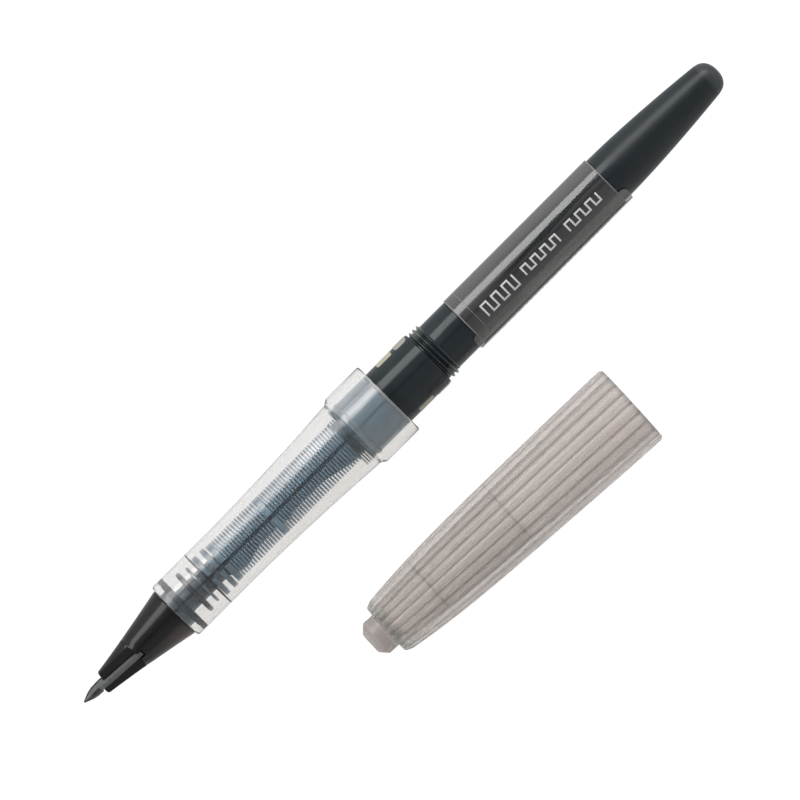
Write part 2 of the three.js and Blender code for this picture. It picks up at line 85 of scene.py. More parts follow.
# Clear section. Its flare starts behind the grip's front, and the other lengths are back from its rear.
BORE_RADIUS = 3.47
GRIP_RADII = (4.22, 5.08)
FLARE_START = 9.3
FLARE_POWER = 1.8
COLLAR_LENGTH = 5.8
SHOULDER_LENGTH = 0.7
SOCKET_RADIUS = 4.3
SOCKET_DEPTH = 8.0

# Stem and collector.
STEM_RADIUS = 1.72
BLOCK_RADIUS = 3.2
MIDDLE_BLOCK = 10.75
FIN_RADIUS = 3.02
FIN_PITCH = 0.445
FIN_WIDTH = 0.24
DISC_RADIUS = 4.17

# Reservoir and its film.
NECK_RADIUS = 4.12
BARREL_RADIUS = 3.6
SEAT_RADIUS = 3.52
FILM_RADIUS = 3.73
FILM_THICKNESS = 0.1
THREAD_PITCH = 0.65
THREAD_TURNS = 3
THREAD_DEPTH = 0.4
TAIL_RADIUS = 2.38
DOME_LENGTH = 1.85
# Printed words: first bar behind the film's front edge, bars, pitch, and top and bottom round the film.
PRINTED_WORDS = (
    (2.75, 7, 0.92, -0.1, 1.75),
    (9.75, 8, 0.86, 0.05, 1.4),
    (17.55, 7, 0.92, 0.05, 1.4),
)
TICK_LENGTHS = (0.5, 0.9, 0.35, 0.7, 1.1, 0.4)

# Cap: places are stations from its knob, and the radii beside them lie outside the flutes.
CAP_LENGTH = 44.9
CAP_PLACES = (3.35, 5.0, 10.0, 15.0, 20.0, 25.0, 35.0, CAP_LENGTH)
CAP_RADII = (3.98, 4.25, 4.74, 5.06, 5.28, 5.44, 5.7, 5.87)
CAP_WALL = 0.9
KNOB_LENGTH = 2.6
KNOB_RADIUS = 2.53
END_INSIDE = 4.0
LINER_GROOVE = 10.5
LINER_END = 24.0
FLUTES = 22
FLUTE_DEPTH = 0.27
FLUTE_TURN = math.radians(5.3)


# ---- axes, from the frame ------------------------------------------------------------------------


class Axis:
    """A straight axis through the object, turned about itself by roll radians."""

    def __init__(self, origin, along, roll=0.0):
        self.origin = np.array(origin, float)
        self.along = np.array(along, float) / np.linalg.norm(along)
        level = np.cross((0.0, 0.0, 1.0), self.along)
        upright = np.cross(self.along, level)
        self.across = math.cos(roll) * level + math.sin(roll) * upright
        self.up = math.cos(roll) * upright - math.sin(roll) * level

    def put(self, points):
        """Carries (station, across, up) in mm to a place in the whole object, in metres."""
        basis = np.stack([self.along, self.across, self.up])
        return self.origin + MM * (np.asarray(points, float) @ basis)


def span(node):
    """First and last station of a pen node."""
    low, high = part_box(node)
    return (low.x - PEN.origin[0]) / MM, (high.x - PEN.origin[0]) / MM


def outer_radius(node):
    """Half the width of a round pen node."""
    low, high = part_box(node)
    return (high.y - low.y) / 2 / MM


shell_low, shell_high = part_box("section_shell")
PEN = Axis(
    (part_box("nib")[0].x, (shell_low.y + shell_high.y) / 2, (shell_low.z + shell_high.z) / 2), (1, 0, 0)
)
cap_end = next(mount for mount in frame["record"]["mounts"] if mount["name"] == "cap_end")
CAP = Axis(cap_end["pos_m"], -np.array(cap_end["axis"], float))
hinge = next(joint for joint in frame["joints"] if joint["name"] == "nib_flex")["axis"]
BLADE = Axis(PEN.origin, PEN.along, math.atan2(hinge[2], hinge[1]))

HOLDER_FRONT = span("nib_holder")[0] - JAW_LEAD
BLADE_REAR = span("nib")[1]
SECTION_FRONT, SECTION_REAR = span("section_shell")
FINS_FRONT, SPIGOT_REAR = span("collector")
SKIRT_FRONT, TAIL_END = span("reservoir")
SEAL_FRONT, SEAL_REAR = span("rear_seal_ring")
LABEL_FRONT, LABEL_REAR = span("label_film")
COLLAR_RADIUS = outer_radius("section_shell")


# ---- mesh helpers --------------------------------------------------------------------------------


def new_piece(name, axis, points, faces, body, replaced=(), crease=35.0):
    """Makes a piece from points on an axis, smooth except along edges sharper than crease degrees."""
    mesh = bpy.data.meshes.new(name)
    mesh.from_pydata(axis.put(points).tolist(), [], faces)
    mesh.polygons.foreach_set("use_smooth", np.ones(len(mesh.polygons), bool))
    mesh.set_sharp_from_angle(angle=math.radians(crease))
    mesh.update()
    piece = bpy.data.objects.new(name, mesh)
    bpy.context.scene.collection.objects.link(piece)
    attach(piece, body)
    if replaced:
        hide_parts(*replaced)
    return piece


def skin(rows, columns, ring=False):
    """Quads of a grid whose columns close round. ring also joins the last row to the first."""
    r = np.arange(rows if ring else rows - 1)[:, None]
    c = np.arange(columns)[None, :]
    below, above = r * columns, (r + 1) % rows * columns
    after = (c + 1) % columns
    return np.stack([below + c, below + after, above + after, above + c], axis=-1).reshape(-1, 4).tolist()


def fans(points, columns):
    """Triangles that close a tube with a pole at each end. The poles are the two points after its rows."""
    c = np.arange(columns)
    after = (c + 1) % columns
    last_row = points - columns
    front = np.stack([np.full(columns, points), after, c], axis=-1)
    rear = np.stack([np.full(columns, points + 1), last_row + c, last_row + after], axis=-1)
    return front.tolist() + rear.tolist()


def softened(corners, size, steps=3, closed=True):
    """Rounds each corner of a profile by a quadratic arc between the points at size to both sides of it."""
    p = np.array(corners, float)
    size = np.broadcast_to(np.array(size, float), len(p))[:, None]
    back, ahead = np.roll(p, 1, axis=0) - p, np.roll(p, -1, axis=0) - p
    first = p + back * np.minimum(size / np.linalg.norm(back, axis=1, keepdims=True), 0.45)
    last = p + ahead * np.minimum(size / np.linalg.norm(ahead, axis=1, keepdims=True), 0.45)
    t = np.linspace(0, 1, steps + 1)[None, :, None]
    arcs = (1 - t) ** 2 * first[:, None] + 2 * t * (1 - t) * p[:, None] + t**2 * last[:, None]
    if closed:
        return arcs.reshape(-1, 2)
    return np.concatenate([p[:1], arcs[1:-1].reshape(-1, 2), p[-1:]])


def lofted(name, rows, body, replaced=(), crease=35.0):
    """Joins equal cross-sections on the blade's axis in order, and closes both ends with a flat face."""
    rows = np.asarray(rows)
    count, columns = rows.shape[:2]
    faces = skin(count, columns)
    faces += [list(range(columns))[::-1], list(range((count - 1) * columns, count * columns))]
    return new_piece(name, BLADE, rows.reshape(-1, 3), faces, body, replaced, crease)


def turned(name, axis, profile, body, replaced=(), angles=96, shape=None, crease=35.0):
    """Revolves a profile of (station, radius): across = radius cos angle, up = radius sin angle.

    shape(station, radius, angle) may rework the radius. A profile that starts and ends on the axis gets
    a pole at each end, and any other closes on itself.
    """
    profile = np.array(profile, float)
    angles = np.arange(angles) * TURN / angles if np.isscalar(angles) else np.asarray(angles)
    poles = profile[0, 1] < 1e-6
    rows = profile[1:-1] if poles else profile
    s, r, a = np.broadcast_arrays(rows[:, :1], rows[:, 1:], angles[None, :])
    if shape is not None:
        r = shape(s, r, a)
    points = np.stack([s, r * np.cos(a), r * np.sin(a)], axis=-1).reshape(-1, 3)
    faces = skin(len(rows), len(angles), ring=not poles)
    if poles:
        faces += fans(len(points), len(angles))
        points = np.concatenate([points, [(profile[0, 0], 0, 0), (profile[-1, 0], 0, 0)]])
    return new_piece(name, axis, points, faces, body, replaced, crease)


def plate(stations, angles, radii, corner=0.0, rows=2):
    """A plate bent round the pen: a grid over station and angle at two radii, its corners rounded if asked.

    corner is the radius of its corners and rows the number of rows along the pen.
    """
    (s0, s1), (a0, a1), (inner, outer) = stations, angles, radii
    columns = max(4, int((a1 - a0) * 30))
    u, v = np.meshgrid(np.linspace(0, 1, rows), np.linspace(0, 1, columns), indexing="ij")
    half = (a1 - a0) * outer / 2
    past = np.clip(np.abs(2 * v - 1) * half - (half - corner), 0, corner)
    tuck = corner - np.sqrt(np.maximum(corner**2 - past**2, 0))
    s = s0 + tuck + (s1 - s0 - 2 * tuck) * u
    a = a0 + (a1 - a0) * v
    layers = [np.stack([s, r * np.cos(a), r * np.sin(a)], -1).reshape(-1, 3) for r in (inner, outer)]
    k = np.arange(rows * columns).reshape(rows, columns)
    cells = np.stack([k[:-1, :-1], k[:-1, 1:], k[1:, 1:], k[1:, :-1]], -1).reshape(-1, 4)
    rim = np.concatenate([k[0, :], k[1:, -1], k[-1, -2::-1], k[-2:0:-1, 0]])
    after = np.roll(rim, -1)
    side = np.stack([rim, after, after + k.size, rim + k.size], -1)
    return np.concatenate(layers), np.concatenate([cells[:, ::-1], cells + k.size, side])


def plates(name, parts, replaced=()):
    """One piece from several plates."""
    points, faces, count = [], [], 0
    for part_points, part_faces in parts:
        points.append(part_points)
        faces += (part_faces + count).tolist()
        count += len(part_points)
    return new_piece(name, PEN, np.concatenate(points), faces, "pen", replaced)


# ---- nib and holder ------------------------------------------------------------------------------


def holder_radius(station):
    """The holder's cone, slightly hollow towards its rear: front + (rear - front) share ** 1.15."""
    share = np.clip((station - HOLDER_FRONT) / (SECTION_FRONT - HOLDER_FRONT), 0, 1)
    return HOLDER_RADII[0] + (HOLDER_RADII[1] - HOLDER_RADII[0]) * share**1.15


def flat_height(station):
    """Height of the sunken flats above the axis, rising in a straight line."""
    return 0.25 + 1.25 * (station - HOLDER_FRONT) / FLAT_LENGTH


def holder_half(station, shrink, flat, slotted):
    """Half a cross-section of the holder: slot wall, flat, then the cone's arc down to the lowest point."""
    radius = holder_radius(station) - shrink
    round_top = math.sqrt(radius**2 - SLOT_HALF**2)
    top = min(flat_height(station), radius - 0.05) if flat else round_top
    edge = max(math.sqrt(max(radius**2 - top**2, 0)), SLOT_HALF)
    floor = -min(1.2, radius - 0.3) if slotted else top
    arc = np.linspace(math.atan2(top, edge), -UP, 26)
    wall = [(SLOT_HALF, floor), (SLOT_HALF, top), ((SLOT_HALF + edge) / 2, top)]
    half = np.concatenate([wall, np.column_stack([radius * np.cos(arc), radius * np.sin(arc)])])
    return np.column_stack([np.full(len(half), station), half])


def holder():
    """Cross-sections carried along the blade's axis. The jaw away from the cap starts behind the other."""
    step = HOLDER_FRONT + FLAT_LENGTH + JAW_LEAD
    slot_end = BLADE_REAR + 0.1
    plans = [(HOLDER_FRONT, 0.3, True, True), (HOLDER_FRONT + 0.07, 0.13, True, True)]
    plans += [(s, 0.0, True, True) for s in np.linspace(HOLDER_FRONT + 0.25, step - 0.28, 10)]
    plans += [(step, 0.0, False, True), (slot_end, 0.0, False, True), (slot_end + 0.001, 0.0, False, False)]
    plans += [(s, 0.0, False, False) for s in np.linspace(BLADE_REAR + 0.5, SECTION_FRONT - 0.3, 10)]
    plans += [(SECTION_FRONT - 0.12, 0.03, False, False), (SECTION_FRONT - 0.03, 0.14, False, False)]
    plans += [(SECTION_FRONT - 0.02, 1.0, False, False), (SECTION_FRONT + 0.9, 1.0, False, False)]
    rows = []
    for station, *plan in plans:
        setback = JAW_SETBACK * max(0.0, 1 - (station - HOLDER_FRONT) / FLAT_LENGTH * 1.2)
        away_half = holder_half(station + setback, *plan)
        cap_half = holder_half(station, *plan)[-2::-1] * (1, -1, 1)
        rows.append(np.concatenate([away_half, cap_half]))
    return lofted("holder", rows, "pen", ["nib_holder"], 28)


def nib_tip():
    """The point: a rounded diamond, |cos|^p + |sin|^p to the power -1/p, scaled by a radius along the axis.

    In the holder's slot it is cut back below and beside the jaw on the cap's side, and it ends in front of
    the other jaw.
    """
    stations = np.array([0.0, 0.0, 0.06, 0.25, 0.7, 1.2, 1.5, 1.9, 2.6, 2.84, 2.9, 3.3, 3.68, 3.7])
    radii = np.interp(stations, TIP_PLACES, TIP_RADII)
    power = 1.25

    def diamond(s, r, a):
        r = r * (np.abs(np.cos(a)) ** power + np.abs(np.sin(a)) ** power) ** (-1 / power)
        beside = (SLOT_HALF - 0.06) / np.maximum(-np.cos(a), 1e-3)
        below = 0.5 / np.maximum(-np.sin(a), 1e-3)
        return np.where(s > 2.85, np.minimum(r, np.minimum(beside, below)), r)

    radii[[0, -1]] = 0
    profile = np.column_stack([stations, radii])
    return turned("nib_tip", BLADE, profile, "nib", ["nib"], 48, diamond, 20)


def nib_blade():
    """A thin bar: a rounded crest carried along the axis, rising with the flats beside it."""
    stations = np.array([2.1, 2.5, HOLDER_FRONT, *np.linspace(4.2, 9.4, 6), BLADE_REAR - 0.1, BLADE_REAR])
    crest = np.interp(stations, [2.1, 2.5, HOLDER_FRONT, 5.5, BLADE_REAR], [0.5, 0.7, 0.95, 1.5, 2.22])
    crest[-1] -= 0.1
    half = np.interp(stations, [2.1, HOLDER_FRONT, 9.66, BLADE_REAR], [0.1, 0.36, 0.36, 0.3])
    outline = np.array([(1, 0, -1), (1, 1, -0.16), (0.82, 1, -0.04), (0.4, 1, 0), (0, 1, 0.01)])
    outline = np.concatenate([outline, outline[-2::-1] * (-1, 1, 1)])
    across = half[:, None] * outline[None, :, 0]
    height = np.where(outline[None, :, 1] > 0, crest[:, None] + outline[None, :, 2], -0.6)
    rows = np.stack([np.broadcast_to(stations[:, None], across.shape), across, height], -1)
    return lofted("nib_blade", rows, "nib", (), 30)


# ---- section and what it holds -------------------------------------------------------------------


def section():
    """Clear grip: straight, then widening by a power of the share. Its bore eases out to the socket."""
    collar_front = SECTION_REAR - COLLAR_LENGTH
    shoulder_front = collar_front - SHOULDER_LENGTH
    socket_front = SECTION_REAR - SOCKET_DEPTH
    flare_front = SECTION_FRONT + FLARE_START
    # The row just before the shoulder keeps the smooth shading of the long grip off the corner.
    grip = np.append(np.linspace(SECTION_FRONT + 2, shoulder_front - 0.08, 60), shoulder_front)
    share = np.clip((grip - flare_front) / (shoulder_front - flare_front), 0, 1)
    grip_radii = GRIP_RADII[0] + (GRIP_RADII[1] - GRIP_RADII[0]) * share**FLARE_POWER
    bore = np.linspace(socket_front, SECTION_FRONT + 12, 14)
    ease = (bore - bore[-1]) / (bore[0] - bore[-1])
    bore_radii = BORE_RADIUS + (SOCKET_RADIUS - BORE_RADIUS) * ease**2 * (3 - 2 * ease)
    front = softened(
        [
            (SECTION_FRONT + 4, BORE_RADIUS), (SECTION_FRONT, BORE_RADIUS),
            (SECTION_FRONT, GRIP_RADII[0]), (grip[0], GRIP_RADII[0]),
        ],
        [0, 0.08, 0.34, 0], 5, False,
    )
    collar = softened(
        [
            (shoulder_front, GRIP_RADII[1]), (collar_front, COLLAR_RADIUS), (SECTION_REAR, COLLAR_RADIUS),
            (SECTION_REAR, SOCKET_RADIUS), (socket_front, SOCKET_RADIUS),
        ],
        [0, 0.25, 0.3, 0.12, 0], 5, False,
    )
    outside = np.column_stack([grip, grip_radii])[:-1]
    inside = np.column_stack([bore, bore_radii])[1:]
    profile = np.concatenate([front[:-1], outside, collar, inside])
    return turned("section", PEN, profile, "pen", ["section_shell"], 144)


def ink_in_fins(station):
    """How far ink stands out of the hub between the fins: two swells, then a rise towards the rear."""
    place = station - FINS_FRONT
    long_swell = 0.72 * np.exp(-(((place - 4.44) / 1.9) ** 2))
    short_swell = 0.4 * np.exp(-(((place - 12.44) / 0.5) ** 2))
    return long_swell + short_swell + np.clip((place - 18.94) / 4.6, 0, 1)


def collector():
    """Hub with three broad blocks, a comb of fine fins broken by a fourth, three discs and a flange.

    A slot runs along its top. Ink stands between the fins on the cap's side, and all round between the
    discs, which are cut back on the other side.
    """
    hub, fins_rear = STEM_RADIUS - 0.06, SEAL_FRONT - 2.1
    corners = [(FINS_FRONT, 0.6)]

    def fin(front, width, radius):
        corners.extend([(front, hub), (front, radius), (front + width, radius), (front + width, hub)])

    fin(FINS_FRONT + 0.05, 0.62, BLOCK_RADIUS)
    fin(FINS_FRONT + 1.4, 0.65, BLOCK_RADIUS)
    fin(FINS_FRONT + 2.35, 0.85, FIN_RADIUS)
    block_front = FINS_FRONT + MIDDLE_BLOCK
    before = np.arange(FINS_FRONT + 3.35, block_front - 0.2, FIN_PITCH)
    behind = np.arange(block_front + 0.9, fins_rear, FIN_PITCH)
    for front in before:
        fin(front, FIN_WIDTH, FIN_RADIUS)
    fin(block_front, 0.75, FIN_RADIUS)
    for front in behind:
        fin(front, FIN_WIDTH, FIN_RADIUS)
    for k in range(3):
        fin(SEAL_FRONT - 1.85 + 0.36 * k, 0.11, DISC_RADIUS)
    fin(SEAL_FRONT - 0.8, 0.68, 4.1)
    corners += [(SPIGOT_REAR, hub), (SPIGOT_REAR, 0.6)]
    slot = 0.045

    def slotted(s, r, a):
        low_side = np.where(s > fins_rear, 1.0, np.maximum(-np.cos(a), 0) ** 0.5)
        wet = (r < hub + 0.05) & (r > 1.0) & (s > FINS_FRONT + 2.2) & (s < SEAL_FRONT - 0.75)
        r = np.where(wet, np.minimum(r + ink_in_fins(s) * low_side, FIN_RADIUS - 0.1), r)
        r = np.where((s > fins_rear) & (s < SEAL_FRONT - 1.0) & (np.cos(a) > 0), np.minimum(r, 3.15), r)
        cut = (np.abs(a - UP) < slot) & (s < fins_rear) & (r > 1.0)
        return np.where(cut, np.minimum(r, hub - 0.04), r)

    around = UP + np.concatenate([[-0.98 * slot, 0, 0.98 * slot], np.linspace(slot, TURN - slot, 60)])
    profile = softened(corners, 0.025, 1)
    return turned("collector_fins", PEN, profile, "pen", ["collector"], around, slotted, 40)


def stem():
    """Stem between holder and collector, with the wider shoulder behind the holder."""
    front, rear = SECTION_FRONT + 0.05, FINS_FRONT - 0.05
    shoulder, step = 2.72, front + 0.95
    corners = [
        (front, 0), (front, shoulder), (step, shoulder), (step, STEM_RADIUS), (rear, STEM_RADIUS), (rear, 0),
    ]
    return turned("holder_stem", PEN, softened(corners, 0.06, 2, False), "pen")


def sleeve_ring(name, front, rear, inner, outer, edge, replaced=()):
    """A plain ring whose four edges are softened."""
    corners = [(front, inner), (front, outer), (rear, outer), (rear, inner)]
    return turned(name, PEN, softened(corners, edge), "pen", replaced, 128)


def stem_ring(node, outer, edge):
    """A ring round the stem, as long as its node in the frame, with softened edges."""
    front, rear = span(node)
    return sleeve_ring(node + "_fine", front, rear, STEM_RADIUS - 0.05, outer, edge, replaced=[node])


def rear_seal():
    """Seal between the flange and the neck."""
    inner, outer, edge = STEM_RADIUS + 0.1, 4.2, 0.06
    return sleeve_ring(
        "seal_fine", SEAL_FRONT, SEAL_REAR, inner, outer, edge, ["rear_seal_ring"]
    )


def neck_skirt():
    """Pale sleeve round the neck, inside the collar."""
    return sleeve_ring("neck_skirt", SKIRT_FRONT, SECTION_REAR - 0.42, 3.5, 4.1, 0.08)


def socket_rim_glints():
    """Hair-thin pale rings of painted highlight, standing for bright glints on rims: two in the collar's end and
    one in front of the skirt.
    """
    rims = {
        "socket_rim_glint_front": SECTION_REAR - 0.4,
        "socket_rim_glint_rear": SECTION_REAR - 0.2,
        "skirt_rim_glint": SKIRT_FRONT - 0.1,
    }
    for name, station in rims.items():
        yield sleeve_ring(name, station, station + 0.1, 3.6, 4.22, 0.02)


# ---- reservoir -----------------------------------------------------------------------------------


def tank():
    """Revolved tank. Its thread is a helical ridge: a raised cosine of turns along less turns around."""
    thread_rear = LABEL_FRONT - 4.3
    thread_front = thread_rear - THREAD_TURNS * THREAD_PITCH
    neck_front = SECTION_REAR - 0.1
    neck = softened(
        [
            (neck_front, 0), (neck_front, NECK_RADIUS),
            (thread_front - 0.1, NECK_RADIUS), (thread_front, BARREL_RADIUS),
        ],
        [0, 0.1, 0.14, 0], 4, False,
    )
    thread = np.linspace(thread_front, thread_rear, 56)
    seat = [(LABEL_FRONT - 0.12, BARREL_RADIUS), (LABEL_FRONT - 0.04, SEAT_RADIUS)]
    tail = np.linspace(LABEL_REAR, TAIL_END - DOME_LENGTH, 28)
    share = (tail - tail[0]) / (tail[-1] - tail[0])
    tail_radii = SEAT_RADIUS - (SEAT_RADIUS - TAIL_RADIUS) * share**1.65
    dome = np.radians(np.linspace(9, 84, 12))
    dome_stations = TAIL_END - DOME_LENGTH * (1 - np.sin(dome))
    dome_radii = (TAIL_RADIUS - 0.05) * np.cos(dome) ** 0.85
    profile = np.concatenate([
        neck[:-1],
        np.column_stack([thread, np.full(len(thread), BARREL_RADIUS)]),
        seat,
        np.column_stack([tail, tail_radii]),
        np.column_stack([dome_stations, dome_radii]),
        [(TAIL_END, 0)],
    ])

    def threaded(s, r, a):
        turns = (s - thread_front) / THREAD_PITCH
        ridge = (0.5 - 0.5 * np.cos(TURN * (turns - a / TURN))) ** 0.85
        fade = np.clip(2 * np.minimum(turns, THREAD_TURNS - turns), 0, 1)
        return r + THREAD_DEPTH * ridge * fade

    return turned("tank", PEN, profile, "pen", ["reservoir"], 128, threaded, 40)


def latch_strip(side, node):
    """Ivory latch strip let into the neck's side."""
    middle = 0.0 if side > 0 else math.pi
    stations = (SECTION_REAR + 1.7, SECTION_REAR + 4.15)
    shape = plate(stations, (middle - 0.5, middle + 0.5), (NECK_RADIUS - 0.2, NECK_RADIUS + 0.02), 0.15, 6)
    return plates("latch_strip_" + node.split("_")[-1], [shape], [node])


def neck_pads():
    """Low pale pads behind the latch strips, with rounded ends."""
    stations = (SECTION_REAR + 4.75, SECTION_REAR + 6.75)
    parts = [
        plate(stations, (middle - half, middle + half), (NECK_RADIUS - 0.1, NECK_RADIUS + 0.07), 0.5, 6)
        for middle, half in ((0.0, 0.54), (math.pi, 0.3))
    ]
    return plates("neck_pads", parts)


def label():
    """Thin film sleeve with softened ends."""
    inner = FILM_RADIUS - FILM_THICKNESS
    return sleeve_ring(
        "label_sleeve", LABEL_FRONT, LABEL_REAR, inner, FILM_RADIUS, 0.03, ["label_film"]
    )


def label_edges():
    """The film's two cut edges and its tear line: hair-thin raised rings."""
    inner, outer = FILM_RADIUS - 0.02, FILM_RADIUS + 0.02
    edges = {
        "front": (LABEL_FRONT, 0.16), "tear": (LABEL_FRONT + 1.6, 0.07), "rear": (LABEL_REAR - 0.14, 0.14),
    }
    for name, (station, wide) in edges.items():
        yield sleeve_ring("label_edge_" + name, station, station + wide, inner, outer, 0.01)


def label_overlap():
    """Overlap of the film along its low side, longer than the sleeve, with rounded corners."""
    stations, radii = (LABEL_FRONT - 0.8, LABEL_REAR + 1.1), (FILM_RADIUS + 0.01, FILM_RADIUS + 0.06)
    return plates("label_overlap", [plate(stations, (UP + 0.62, UP + 1.5), radii, 0.8, 12)])


def label_print():
    """Three plain square waves of print: upright bars linked in turn at the top and at the bottom."""
    stroke, radii = 0.24, (FILM_RADIUS - 0.01, FILM_RADIUS + 0.015)

    def mark(s0, s1, t0, t1):
        return plate((s0, s1), (UP + t0 / FILM_RADIUS, UP + t1 / FILM_RADIUS), radii)

    parts = []
    for offset, bars, pitch, top, bottom in PRINTED_WORDS:
        for k in range(bars):
            station = LABEL_FRONT + offset + k * pitch
            parts.append(mark(station, station + stroke, top, bottom))
            link = top if k % 2 == 0 else bottom - stroke
            if k < bars - 1:
                parts.append(mark(station + stroke - 0.01, station + pitch + 0.01, link, link + stroke))
    return plates("label_print", parts)


def label_lift():
    """The free edge of the overlap, which stands off the film."""
    stations, radii = (LABEL_FRONT - 0.6, LABEL_REAR + 1.0), (FILM_RADIUS + 0.1, FILM_RADIUS + 0.2)
    return plates("label_lift", [plate(stations, (UP + 1.3, UP + 1.62), radii, 0.3, 12)])


def label_ticks():
    """A row of short dark ticks on the free edge."""
    parts, station, gap = [], LABEL_FRONT + 2.0, 0.33
    angles, radii = (UP + 1.44, UP + 1.6), (FILM_RADIUS + 0.19, FILM_RADIUS + 0.215)
    for k in range(21):
        length = TICK_LENGTHS[k % len(TICK_LENGTHS)]
        parts.append(plate((station, station + length), angles, radii))
        station += length + gap
    return plates("label_ticks", parts)


# ---- cap -----------------------------------------------------------------------------------------

CAP_CURVE = np.polyfit(CAP_PLACES, CAP_RADII, 4)


def cap_radius(station):
    """Outside of the flutes: a fourth-power curve through the sleeve's radii."""
    return np.polyval(CAP_CURVE, station)


def cap_sleeve():
    """Revolved sleeve, scalloped outside: the radius drops by depth (1 - |cos(flutes angle / 2)|)."""
    rim = CAP_LENGTH - 0.4
    outside = np.linspace(4.4, rim, 60)
    inside = np.linspace(CAP_LENGTH - 1.2, END_INSIDE + 0.3, 30)
    end = softened(
        [
            (KNOB_LENGTH, KNOB_RADIUS + 0.08), (KNOB_LENGTH, 3.62),
            (3.5, cap_radius(3.5)), (4.4, cap_radius(4.4)),
        ],
        [0, 0.3, 0.25, 0], 6, False,
    )
    mouth = softened(
        [
            (rim, cap_radius(rim)), (CAP_LENGTH, cap_radius(CAP_LENGTH) - 0.3), (CAP_LENGTH, 5.08),
            (CAP_LENGTH - 0.5, 4.93), (inside[0], cap_radius(inside[0]) - CAP_WALL),
        ],
        [0, 0.12, 0.1, 0.1, 0], 4, False,
    )
    profile = np.concatenate([
        end[:-1], np.column_stack([outside, cap_radius(outside)])[:-1], mouth,
        np.column_stack([inside, cap_radius(inside) - CAP_WALL])[1:],
        [(END_INSIDE, 3.1), (END_INSIDE, KNOB_RADIUS + 0.08)],
    ])

    def fluted(s, r, a):
        outer = (r > cap_radius(s) - 0.45) & (s > KNOB_LENGTH + 0.01)
        run_in, run_out = np.clip((s - KNOB_LENGTH) / 0.9, 0, 1), np.clip((CAP_LENGTH - s) / 0.35, 0.1, 1)
        crest = np.abs(np.cos(FLUTES * (a - UP - FLUTE_TURN) / 2))
        return np.where(outer, r - FLUTE_DEPTH * run_in * run_out * (1 - crest), r)

    count = FLUTES * 10
    around = UP + FLUTE_TURN + np.arange(count) * TURN / count
    return turned("cap_sleeve", CAP, profile, "cap", ["cap_shell"], around, fluted, 40)


def cap_liner():
    """Revolved liner behind the knob: flange, cone with a fine groove, and the cone and chamber inside it."""
    def wall(station):
        return (station, cap_radius(station) - CAP_WALL - 0.08)

    flange_front, groove_depth = KNOB_LENGTH + 0.1, 0.12
    corners = [(flange_front, 0), (flange_front, KNOB_RADIUS), (END_INSIDE + 0.08, KNOB_RADIUS)]
    corners += [wall(s) for s in (END_INSIDE + 0.12, 6.0, 8.0, LINER_GROOVE - 0.15)]
    corners += [(LINER_GROOVE + 0.08 * k, wall(LINER_GROOVE + 0.1 * k)[1] - groove_depth) for k in (-1, 1)]
    corners += [wall(s) for s in (LINER_GROOVE + 0.15, 13.0, 16.0, 19.0, 21.5, LINER_END)]
    corners += [(LINER_END, 3.96), (11.4, 1.62), (11.2, 1.3), (6.94, 1.3), (6.94, 0)]
    profile = softened(corners, 0.06, 3, False)
    return turned("cap_liner", CAP, profile, "cap", ["inner_cap"], 112)


def cap_knob():
    """The liner's knob, with its wide chamfer."""
    foot = KNOB_LENGTH + 0.06
    corners = [(0, 0), (0, KNOB_RADIUS - 1.05), (1.0, KNOB_RADIUS), (foot, KNOB_RADIUS), (foot, 0)]
    return turned("cap_knob", CAP, softened(corners, 0.12, 4, False), "cap")


# ---- shader arithmetic ---------------------------------------------------------------------------


class Value:
    """A socket in Python arithmetic: each operator adds the Math node that does it."""

    def __init__(self, shader, socket):
        self.shader, self.socket = shader, socket

    def math(self, operation, *others, clamp=False):
        settings = {"operation": operation, "use_clamp": clamp}
        return self.shader.node("Math", settings, dict(enumerate((self, *others))))

    def clamped(self):
        return self.math("ADD", 0.0, clamp=True)

    def __add__(self, other):
        return self.math("ADD", other)

    def __sub__(self, other):
        return self.math("SUBTRACT", other)

    def __mul__(self, other):
        return self.math("MULTIPLY", other)

    def __truediv__(self, other):
        return self.math("DIVIDE", other)

    def __abs__(self):
        return self.math("ABSOLUTE")

    def __rsub__(self, other):
        return self * -1.0 + other

    __radd__ = __add__
    __rmul__ = __mul__


class Nodes:
    """A node tree that is written as Python expressions."""

    def __init__(self, tree):
        self.tree = tree

    def link(self, source, target):
        """Feeds a socket from a value, a colour or a plain number."""
        if isinstance(source, Value):
            self.tree.links.new(source.socket, target)
        elif target.type == "RGBA":
            target.default_value = (*source, 1.0)
        else:
            target.default_value = source

    def node(self, kind, settings=None, inputs=None, output=0):
        """Adds a node of a type: its settings first, then the values or links of its sockets."""
        made = self.tree.nodes.new("ShaderNode" + kind)
        for key, value in (settings or {}).items():
            setattr(made, key, value)
        for key, value in (inputs or {}).items():
            self.link(value, made.inputs[key])
        return Value(self, made.outputs[output])

    def along(self, axis):
        """Object coordinates as station, across and up of an axis, in mm."""
        turn = (0, 0, math.atan2(axis.along[1], axis.along[0]))
        inputs = {"Location": axis.origin, "Rotation": turn, "Scale": (MM, MM, MM)}
        inputs["Vector"] = self.node("TexCoord", output="Object")
        return self.node("Mapping", {"vector_type": "TEXTURE"}, inputs)

    def split(self, vector):
        """The three numbers of a vector."""
        first = self.node("SeparateXYZ", inputs={0: vector})
        return [Value(self, output) for output in first.socket.node.outputs]

    def noise(self, scale, detail=3.0, stretch=(1.0, 1.0, 1.0), axis=PEN):
        """Noise with scale features in a millimetre, from 0 to 1, its place stretched along an axis."""
        place = self.node("VectorMath", {"operation": "MULTIPLY"}, {0: self.along(axis), 1: stretch})
        return self.node("TexNoise", None, {"Vector": place, "Scale": scale, "Detail": detail})

    def blend(self, share, low, high):
        """A colour between two, by share."""
        settings = {"data_type": "RGBA", "clamp_factor": True}
        return self.node("Mix", settings, {0: share, 6: low, 7: high}, output=2)


